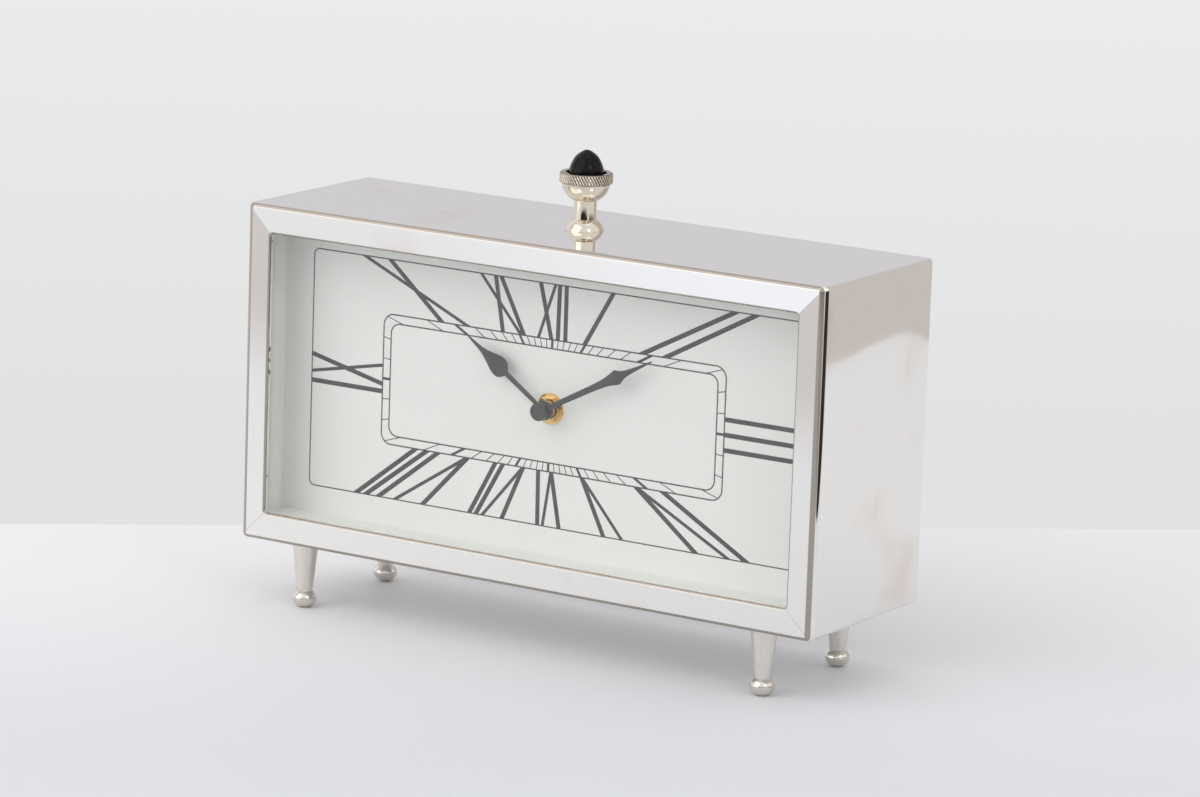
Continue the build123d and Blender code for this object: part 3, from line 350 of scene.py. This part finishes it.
tree.links.new(rough, shader.inputs["Roughness"])
brushed = add(tree, "ShaderNodeBump", Strength=shank, Distance=0.02 * mm, Height=lines).outputs[0]
tree.links.new(brushed, shader.inputs["Normal"])
set_plain(shader, Metallic=1.0)
dress(brushed_nickel, "leg_front_left", "leg_front_right", "leg_back_left", "leg_back_right")

# Finial
# Base, stem and cup are turned from brass bar, nickel plated and buffed, so the lathe leaves only
# faint rings. They are screwed together on a stud from inside the case.
turned_nickel, tree, shader, place = finish("turned_nickel")
rings = add(
    tree, "ShaderNodeTexWave", {"bands_direction": "Z"}, Vector=place, Scale=1 / (0.8 * mm), Distortion=0.4
).outputs[0]
turned_rings = add(tree, "ShaderNodeBump", Strength=0.15, Distance=0.01 * mm, Height=rings).outputs[0]
tree.links.new(turned_rings, shader.inputs["Normal"])
blush = add(tree, "ShaderNodeTexNoise", Vector=place, Scale=1 / (9 * mm), Detail=2.0).outputs[0]
metal = add(
    tree, "ShaderNodeMix", {"data_type": "RGBA"}, _0=blush, _6=linear("#d6cbba"), _7=linear("#dfd7cb")
).outputs[2]
tree.links.new(metal, shader.inputs["Base Color"])
set_plain(shader, Metallic=1.0, Roughness=0.07)
dress(turned_nickel, "finial_base", "finial_stem", "finial_cup")


# Rim of the finial
# A brass ring on the cup, with slanting ridges pressed in by a knurling wheel and then nickel plated.
# The buff only reaches the crests, so they shine; the grooves between them are dull and carry painted shade,
# so they are coloured darker.
def ring_surface(profile, ripple):
    """Closed profile carried round Z: x, y = (radius - ripple) times cos, sin of the angle, and z = height."""
    steps = ripple.shape[0]
    angle = np.arange(steps)[:, None] * 2 * pi / steps
    radius = profile[None, :, 0] - ripple
    height = np.broadcast_to(profile[None, :, 1], radius.shape)
    return np.stack([radius * np.cos(angle), radius * np.sin(angle), height], axis=-1)


def skin_over(loops, closed):
    """Quads from each closed loop of points to the next, then from last to first, or a face at each end."""
    rows, columns = loops.shape[:2]
    index = np.arange(rows * columns).reshape(rows, columns)
    beside = np.roll(index, -1, axis=1)
    last = rows if closed else rows - 1
    after, beside_after = np.roll(index, -1, axis=0), np.roll(beside, -1, axis=0)
    quads = np.stack([index[:last], beside[:last], beside_after[:last], after[:last]], axis=-1)
    faces = quads.reshape(-1, 4).tolist()
    if not closed:
        faces += [index[0].tolist(), index[-1].tolist()]
    return loops.reshape(-1, 3), faces


def piece(name, parts, material, body, smooth_angle=35):
    """One mesh object from several surfaces, given in metres, with its faces outwards, riding on a body."""
    points, faces, count = [], [], 0
    for part_points, part_faces in parts:
        points.append(part_points)
        faces += [[corner + count for corner in face] for face in part_faces]
        count += len(part_points)
    mesh = bpy.data.meshes.new(name)
    mesh.from_pydata(np.concatenate(points).tolist(), [], faces)
    shape = bmesh.new()
    shape.from_mesh(mesh)
    bmesh.ops.recalc_face_normals(shape, faces=shape.faces)
    shape.to_mesh(mesh)
    shape.free()
    mesh.shade_smooth()
    mesh.set_sharp_from_angle(angle=radians(smooth_angle))
    mesh.materials.append(material)
    made = bpy.data.objects.new(name, mesh)
    bpy.context.scene.collection.objects.link(made)
    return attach(made, body)


rim_low, rim_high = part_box("finial_rim")
rim_radius = rim_high.x
ridge_count = 54
ridge_depth = 0.5 * mm
rim_tall = rim_high.z - rim_low.z
ridge_rows = 9
levels = np.linspace(0, 1, ridge_rows)
collar = 0.5 * mm
bevel = 0.2 * mm
side = np.stack(
    [np.full(ridge_rows, rim_radius), rim_low.z + collar + levels * (rim_tall - 2 * collar)], axis=-1
)
bore_radius = 9.1 * mm
core_radius = rim_radius - ridge_depth
profile = np.concatenate(
    [
        [[core_radius - bevel, rim_low.z], [core_radius, rim_low.z + bevel]],
        side,
        [[core_radius, rim_high.z - bevel], [core_radius - bevel, rim_high.z]],
        [[bore_radius + bevel, rim_high.z], [bore_radius, rim_high.z - bevel], [bore_radius, rim_low.z]],
    ]
)
turns = np.arange(ridge_count * 8)[:, None] * 2 * pi / (ridge_count * 8)
slant = radians(-14) * np.clip((profile[:, 1] - rim_low.z) / rim_tall, 0, 1)[None, :]
ripple = ridge_depth * np.abs(np.sin((turns - slant) * ridge_count / 2)) ** 0.9
ripple[:, :2] = 0
ripple[:, 2 + ridge_rows:] = 0
knurled_nickel, tree, shader, place = finish("knurled_nickel")
x, y, z = add(tree, "ShaderNodeSeparateXYZ", Vector=place).outputs
flat_place = add(tree, "ShaderNodeCombineXYZ", X=x, Y=y).outputs[0]
from_axis = add(tree, "ShaderNodeVectorMath", {"operation": "LENGTH"}, _0=flat_place).outputs["Value"]
# Painted shade: the grooves are coloured darker than the crests, by distance from the axis.
crest_and_painted_groove_shade = add(
    tree, "ShaderNodeMapRange", Value=from_axis,
    From_Min=rim_radius - 0.8 * ridge_depth, From_Max=rim_radius - 0.2 * ridge_depth,
).outputs[0]
metal = add(
    tree, "ShaderNodeMix", {"data_type": "RGBA"}, _0=crest_and_painted_groove_shade, _6=linear("#8d8173"), _7=linear("#e6ddcf")
).outputs[2]
tree.links.new(metal, shader.inputs["Base Color"])
set_plain(shader, Metallic=1.0, Roughness=0.16)
knurled_rim = piece(
    "finial_rim_knurled", [skin_over(ring_surface(profile, ripple), True)], knurled_nickel, "case"
)
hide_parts("finial_rim")

# Stone
# A black onyx cabochon, cut as an egg and polished, glued into the rim.
black_onyx, tree, shader, place = finish("black_onyx")
veins = add(tree, "ShaderNodeTexNoise", Vector=place, Scale=1 / (6 * mm), Detail=4.0).outputs[0]
stone = add(
    tree, "ShaderNodeMix", {"data_type": "RGBA"}, _0=veins, _6=linear("#050506"), _7=linear("#0b0b0d")
).outputs[2]
tree.links.new(stone, shader.inputs["Base Color"])
set_plain(shader, Roughness=0.2, IOR=1.54, Specular_IOR_Level=0.15)
dress(black_onyx, "finial_cabochon")

# Fasteners
# Machine screws, washers, nuts, hinge pin and stud of zinc plated steel: cool grey, slightly cloudy.
zinc_plate, tree, shader, place = finish("zinc_plated_steel")
bloom = add(tree, "ShaderNodeTexNoise", Vector=place, Scale=1 / (1.5 * mm), Detail=3.0).outputs[0]
metal = add(
    tree, "ShaderNodeMix", {"data_type": "RGBA"}, _0=bloom, _6=linear("#b9bbbd"), _7=linear("#cfd0cf")
).outputs[2]
tree.links.new(metal, shader.inputs["Base Color"])
rough = add(tree, "ShaderNodeMapRange", Value=bloom, To_Min=0.22, To_Max=0.42).outputs[0]
tree.links.new(rough, shader.inputs["Roughness"])
set_plain(shader, Metallic=1.0)
dress(
    zinc_plate, "leg_screws", "leg_washers", "finial_stud", "finial_washer", "finial_nut",
    "back_panel_screws", "door_pin", "door_pull", "door_magnet", "contact_plus", "contact_minus",
    "stator", "quartz_crystal", "rotor",
)

# Back
# A recessed steel panel and door with black powder coat, which has a fine pebbled surface,
# screwed to four sawn pine blocks.
powder_coat, tree, shader, place = finish("black_powder_coat")
pebbles = add(tree, "ShaderNodeTexNoise", Vector=place, Scale=1 / (0.5 * mm), Detail=2.0).outputs[0]
pebbled = add(tree, "ShaderNodeBump", Strength=0.5, Distance=0.06 * mm, Height=pebbles).outputs[0]
tree.links.new(pebbled, shader.inputs["Normal"])
coat = add(
    tree, "ShaderNodeMix", {"data_type": "RGBA"}, _0=pebbles, _6=linear("#1b1b1d"), _7=linear("#29292b")
).outputs[2]
tree.links.new(coat, shader.inputs["Base Color"])
set_plain(shader, Roughness=0.48)
dress(powder_coat, "back_panel", "access_door")

sawn_pine, tree, shader, place = finish("sawn_pine")
along = add(tree, "ShaderNodeMapping", Vector=place, Scale=(1.0, 0.08, 1.0)).outputs[0]
years = add(
    tree, "ShaderNodeTexWave", {"bands_direction": "DIAGONAL"},
    Vector=along, Scale=1 / (9 * mm), Distortion=3.0, Detail=2.0,
).outputs[0]
wood = add(
    tree, "ShaderNodeMix", {"data_type": "RGBA"}, _0=years, _6=linear("#d9bd92"), _7=linear("#c29a68")
).outputs[2]
tree.links.new(wood, shader.inputs["Base Color"])
fibres = add(tree, "ShaderNodeTexNoise", Vector=along, Scale=1 / (0.4 * mm), Detail=3.0).outputs[0]
sawn = add(tree, "ShaderNodeBump", Strength=0.6, Distance=0.15 * mm, Height=fibres).outputs[0]
tree.links.new(sawn, shader.inputs["Normal"])
set_plain(shader, Roughness=0.75)
dress(
    sawn_pine, "corner_block_low_left", "corner_block_low_right", "corner_block_high_left",
    "corner_block_high_right",
)

# Movement mouldings
# Case, cover and setting knob are moulded ABS, the wheels and train plate are white acetal.
moulded_abs, tree, shader, place = finish("moulded_black_abs")
spark = add(tree, "ShaderNodeTexNoise", Vector=place, Scale=1 / (0.35 * mm), Detail=2.0).outputs[0]
eroded = add(tree, "ShaderNodeBump", Strength=0.4, Distance=0.03 * mm, Height=spark).outputs[0]
tree.links.new(eroded, shader.inputs["Normal"])
plastic = add(
    tree, "ShaderNodeMix", {"data_type": "RGBA"}, _0=spark, _6=linear("#1d1d1f"), _7=linear("#252527")
).outputs[2]
tree.links.new(plastic, shader.inputs["Base Color"])
set_plain(shader, Roughness=0.42)
dress(moulded_abs, "movement_case", "movement_cover", "setting_knob")

white_acetal, tree, shader, place = finish("white_acetal")
flow = add(tree, "ShaderNodeTexNoise", Vector=place, Scale=1 / (7 * mm), Detail=2.0).outputs[0]
plastic = add(
    tree, "ShaderNodeMix", {"data_type": "RGBA"}, _0=flow, _6=linear("#e3e2dc"), _7=linear("#efeee9")
).outputs[2]
tree.links.new(plastic, shader.inputs["Base Color"])
set_plain(shader, Roughness=0.38, Subsurface_Weight=0.1, Subsurface_Scale=0.5 * mm)
dress(white_acetal, "train_plate", "hour_wheel", "minute_wheel", "third_wheel")

moulded_rubber, tree, shader, place = finish("moulded_rubber")
dust = add(tree, "ShaderNodeTexNoise", Vector=place, Scale=1 / (0.8 * mm), Detail=3.0).outputs[0]
rubber = add(
    tree, "ShaderNodeMix", {"data_type": "RGBA"}, _0=dust, _6=linear("#18181a"), _7=linear("#242425")
).outputs[2]
tree.links.new(rubber, shader.inputs["Base Color"])
set_plain(shader, Roughness=0.85)
dress(moulded_rubber, "rubber_washer")

# Coil
# Enamelled copper wire wound on the core in close turns, drawn four times as thick as the real
# wire so that the turns show. The enamel gives it a reddish gloss.
enamelled_copper, tree, shader, place = finish("enamelled_copper")
patches = add(tree, "ShaderNodeTexNoise", Vector=place, Scale=1 / (2 * mm), Detail=2.0).outputs[0]
metal = add(
    tree, "ShaderNodeMix", {"data_type": "RGBA"}, _0=patches, _6=linear("#b4683c"), _7=linear("#cf8656")
).outputs[2]
tree.links.new(metal, shader.inputs["Base Color"])
set_plain(shader, Metallic=1.0, Roughness=0.28, Coat_Weight=0.5, Coat_Roughness=0.1)
coil_low, coil_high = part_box("coil")
coil_radius = (coil_high.z - coil_low.z) / 2
coil_y, coil_z = (coil_low.y + coil_high.y) / 2, (coil_low.z + coil_high.z) / 2
wire = 0.32 * mm
turn_count = int((coil_high.x - coil_low.x) / wire)
along_coil = np.linspace(0, turn_count, turn_count * 6 + 1)[:, None]
round_coil = np.arange(28)[None, :] * 2 * pi / 28
bulge = wire / 2 * (1 - np.abs(np.sin(pi * (along_coil - round_coil / (2 * pi)))))
radius = coil_radius - bulge
x = coil_low.x + (coil_high.x - coil_low.x) * along_coil / turn_count
winding = np.stack(
    [
        np.broadcast_to(x, radius.shape),
        coil_y + radius * np.cos(round_coil),
        coil_z + radius * np.sin(round_coil),
    ],
    axis=-1,
)
coil_winding = piece("coil_winding", [skin_over(winding, False)], enamelled_copper, "case", 80)
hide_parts("coil")

# Circuit board
# Glass fibre board under green solder mask, with copper tracks that show through as lighter lines.
solder_mask, tree, shader, place = finish("green_solder_mask")
tracks = add(
    tree, "ShaderNodeTexBrick", {"offset": 0.35},
    Vector=add(tree, "ShaderNodeMapping", Vector=place, Rotation=(radians(90), 0, 0)).outputs[0],
    Color1=linear("#14482b"), Color2=linear("#184f30"), Mortar=linear("#2c7748"),
    Scale=1.0, Mortar_Size=0.25 * mm, Brick_Width=3.1 * mm, Row_Height=1.7 * mm,
).outputs[0]
tree.links.new(tracks, shader.inputs["Base Color"])
set_plain(shader, Roughness=0.3)
dress(solder_mask, "circuit_board")

# Dry cell
# A steel can in a shrunk plastic sleeve, dark with a copper coloured band at the positive end.
cell_sleeve, tree, shader, place = finish("shrunk_cell_sleeve")
across = add(tree, "ShaderNodeSeparateXYZ", Vector=place).outputs["X"]
band = add(tree, "ShaderNodeMapRange", Value=across, From_Min=11.9 * mm, From_Max=12.1 * mm).outputs[0]
capped = add(tree, "ShaderNodeMapRange", Value=across, From_Min=23.4 * mm, From_Max=23.5 * mm).outputs[0]
creases = add(tree, "ShaderNodeTexNoise", Vector=place, Scale=1 / (5 * mm), Detail=3.0).outputs[0]
dark = add(
    tree, "ShaderNodeMix", {"data_type": "RGBA"}, _0=creases, _6=linear("#23262b"), _7=linear("#2d3036")
).outputs[2]
sleeve = add(tree, "ShaderNodeMix", {"data_type": "RGBA"}, _0=band, _6=dark, _7=linear("#b07a4a")).outputs[2]
sleeve = add(
    tree, "ShaderNodeMix", {"data_type": "RGBA"}, _0=capped, _6=sleeve, _7=linear("#c9c9c8")
).outputs[2]
tree.links.new(sleeve, shader.inputs["Base Color"])
tree.links.new(capped, shader.inputs["Metallic"])
set_plain(shader, Roughness=0.3)
dress(cell_sleeve, "battery")

# Brass at the middle
# Bush, nut, washer and arbor are turned brass, left bare and still bright, with fine turning rings.
washer_low, washer_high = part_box("brass_washer")
shaft_height = (washer_low.z + washer_high.z) / 2
turned_brass, tree, shader, place = finish("turned_brass")
from_shaft = add(tree, "ShaderNodeMapping", Vector=place, Location=(0, 0, -shaft_height)).outputs[0]
rings = add(
    tree, "ShaderNodeTexWave", {"wave_type": "RINGS", "rings_direction": "Y"},
    Vector=from_shaft, Scale=1 / (1.2 * mm), Distortion=0.3,
).outputs[0]
turned_face = add(tree, "ShaderNodeBump", Strength=0.3, Distance=0.02 * mm, Height=rings).outputs[0]
tree.links.new(turned_face, shader.inputs["Normal"])
tarnish = add(tree, "ShaderNodeTexNoise", Vector=place, Scale=1 / (3 * mm), Detail=3.0).outputs[0]
metal = add(
    tree, "ShaderNodeMix", {"data_type": "RGBA"}, _0=tarnish, _6=linear("#d9b065"), _7=linear("#e8c887")
).outputs[2]
tree.links.new(metal, shader.inputs["Base Color"])
set_plain(shader, Metallic=1.0, Roughness=0.2)
dress(turned_brass, "brass_washer", "hex_nut", "threaded_bush", "minute_arbor")


# Hands
# Stamped from brass sheet, pressed to a low crown with a dished spade on the hour hand, and
# lacquered satin black. The hour hand is pressed on its pipe, the minute hand held by the cap.
def hand_loops(reach, half_width, crown, dish, thickness, back, angle):
    """Sections along a hand: v runs -1 to 1 over its width, lift = crown (1 - v^2) - dish cos^2(pi v / 2)."""
    v = np.linspace(-1, 1, 13)[None, :]
    across = v * half_width[:, None]
    lift = crown[:, None] * (1 - v ** 2) - dish[:, None] * np.cos(pi * v / 2) ** 2
    front = np.stack([across, np.full(across.shape, back - thickness) - lift], axis=-1)
    rear = np.stack([across[:, ::-1], np.full(across.shape, back)], axis=-1)
    loop = np.concatenate([front, rear], axis=1)
    along = np.broadcast_to(reach[:, None], loop.shape[:2])
    x = loop[..., 0] * cos(angle) + along * sin(angle)
    z = -loop[..., 0] * sin(angle) + along * cos(angle)
    return np.stack([x, loop[..., 1], shaft_height + z], axis=-1)


def boss_loops(inner, outer, front, back):
    """Ring about the shaft: a profile with a bevelled front edge carried round Y."""
    edge = 0.25 * mm
    profile = np.array(
        [[inner, back], [outer, back], [outer, front + edge], [outer - edge, front], [inner, front]]
    )
    angle = np.arange(64)[:, None] * 2 * pi / 64
    x = profile[None, :, 0] * np.cos(angle)
    z = shaft_height + profile[None, :, 0] * np.sin(angle)
    return np.stack([x, np.broadcast_to(profile[None, :, 1], x.shape), z], axis=-1)


black_lacquer, tree, shader, place = finish("satin_black_lacquer")
specks = add(tree, "ShaderNodeTexNoise", Vector=place, Scale=1 / (1.2 * mm), Detail=3.0).outputs[0]
lacquer = add(
    tree, "ShaderNodeMix", {"data_type": "RGBA"}, _0=specks, _6=linear("#2b2a29"), _7=linear("#383735")
).outputs[2]
tree.links.new(lacquer, shader.inputs["Base Color"])
orange_peel = add(tree, "ShaderNodeBump", Strength=0.2, Distance=0.02 * mm, Height=specks).outputs[0]
tree.links.new(orange_peel, shader.inputs["Normal"])
set_plain(shader, Roughness=0.36)
dress(black_lacquer, "cap_nut")

hour_low, hour_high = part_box("hour_hand")
hour_back = hour_high.y
reach = np.concatenate(
    [np.linspace(2.6, 24.0, 20), np.linspace(24.3, 41.0, 44), np.linspace(41.8, 49.5, 10)]
)
hour_width = np.interp(
    reach,
    [2.6, 24.3, 24.9, 25.6, 26.8, 28.6, 30.4, 32.2, 34.2, 36.0, 38.3, 41.0, 49.5],
    [1.0, 1.2, 2.1, 3.2, 4.25, 4.75, 4.62, 4.1, 3.2, 2.5, 1.72, 1.05, 0.3],
)
spade = np.interp(reach, [24.0, 27.0, 33.0, 39.0], [0, 1, 0.8, 0])
crown = np.where(reach < 24.5, 0.3, 0.22)
hour_loops = hand_loops(
    reach * mm, hour_width * mm, crown * mm, 0.42 * spade * mm, 0.35 * mm, hour_back, radians(-55.6)
)
hour_boss = boss_loops(2.55 * mm, 4.4 * mm, hour_low.y, hour_back)
hour_hand = piece(
    "hour_hand_stamped", [skin_over(hour_loops, False), skin_over(hour_boss, True)],
    black_lacquer, "hour_work", 50,
)
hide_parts("hour_hand")

minute_low, minute_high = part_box("minute_hand")
minute_back = minute_high.y
reach = np.concatenate(
    [np.linspace(1.7, 30.0, 20), np.linspace(30.5, 50.0, 40), np.linspace(51.0, 63.7, 14)]
)
minute_width = np.interp(
    reach,
    [1.7, 30.0, 33.0, 36.0, 38.5, 40.5, 42.4, 44.2, 45.2, 46.4, 48.0, 50.0, 53.0, 56.0, 63.7],
    [1.15, 1.45, 1.58, 1.78, 2.08, 2.5, 2.95, 3.4, 2.72, 2.1, 1.6, 1.25, 0.97, 0.75, 0.3],
)
minute_loops = hand_loops(
    reach * mm, minute_width * mm, np.full(reach.shape, 0.22) * mm, np.zeros(reach.shape),
    0.3 * mm, minute_back, radians(62),
)
minute_boss = boss_loops(1.65 * mm, 3.4 * mm, minute_low.y, minute_back)
minute_hand = piece(
    "minute_hand_stamped", [skin_over(minute_loops, False), skin_over(minute_boss, True)],
    black_lacquer, "minute_work", 50,
)
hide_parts("minute_hand")
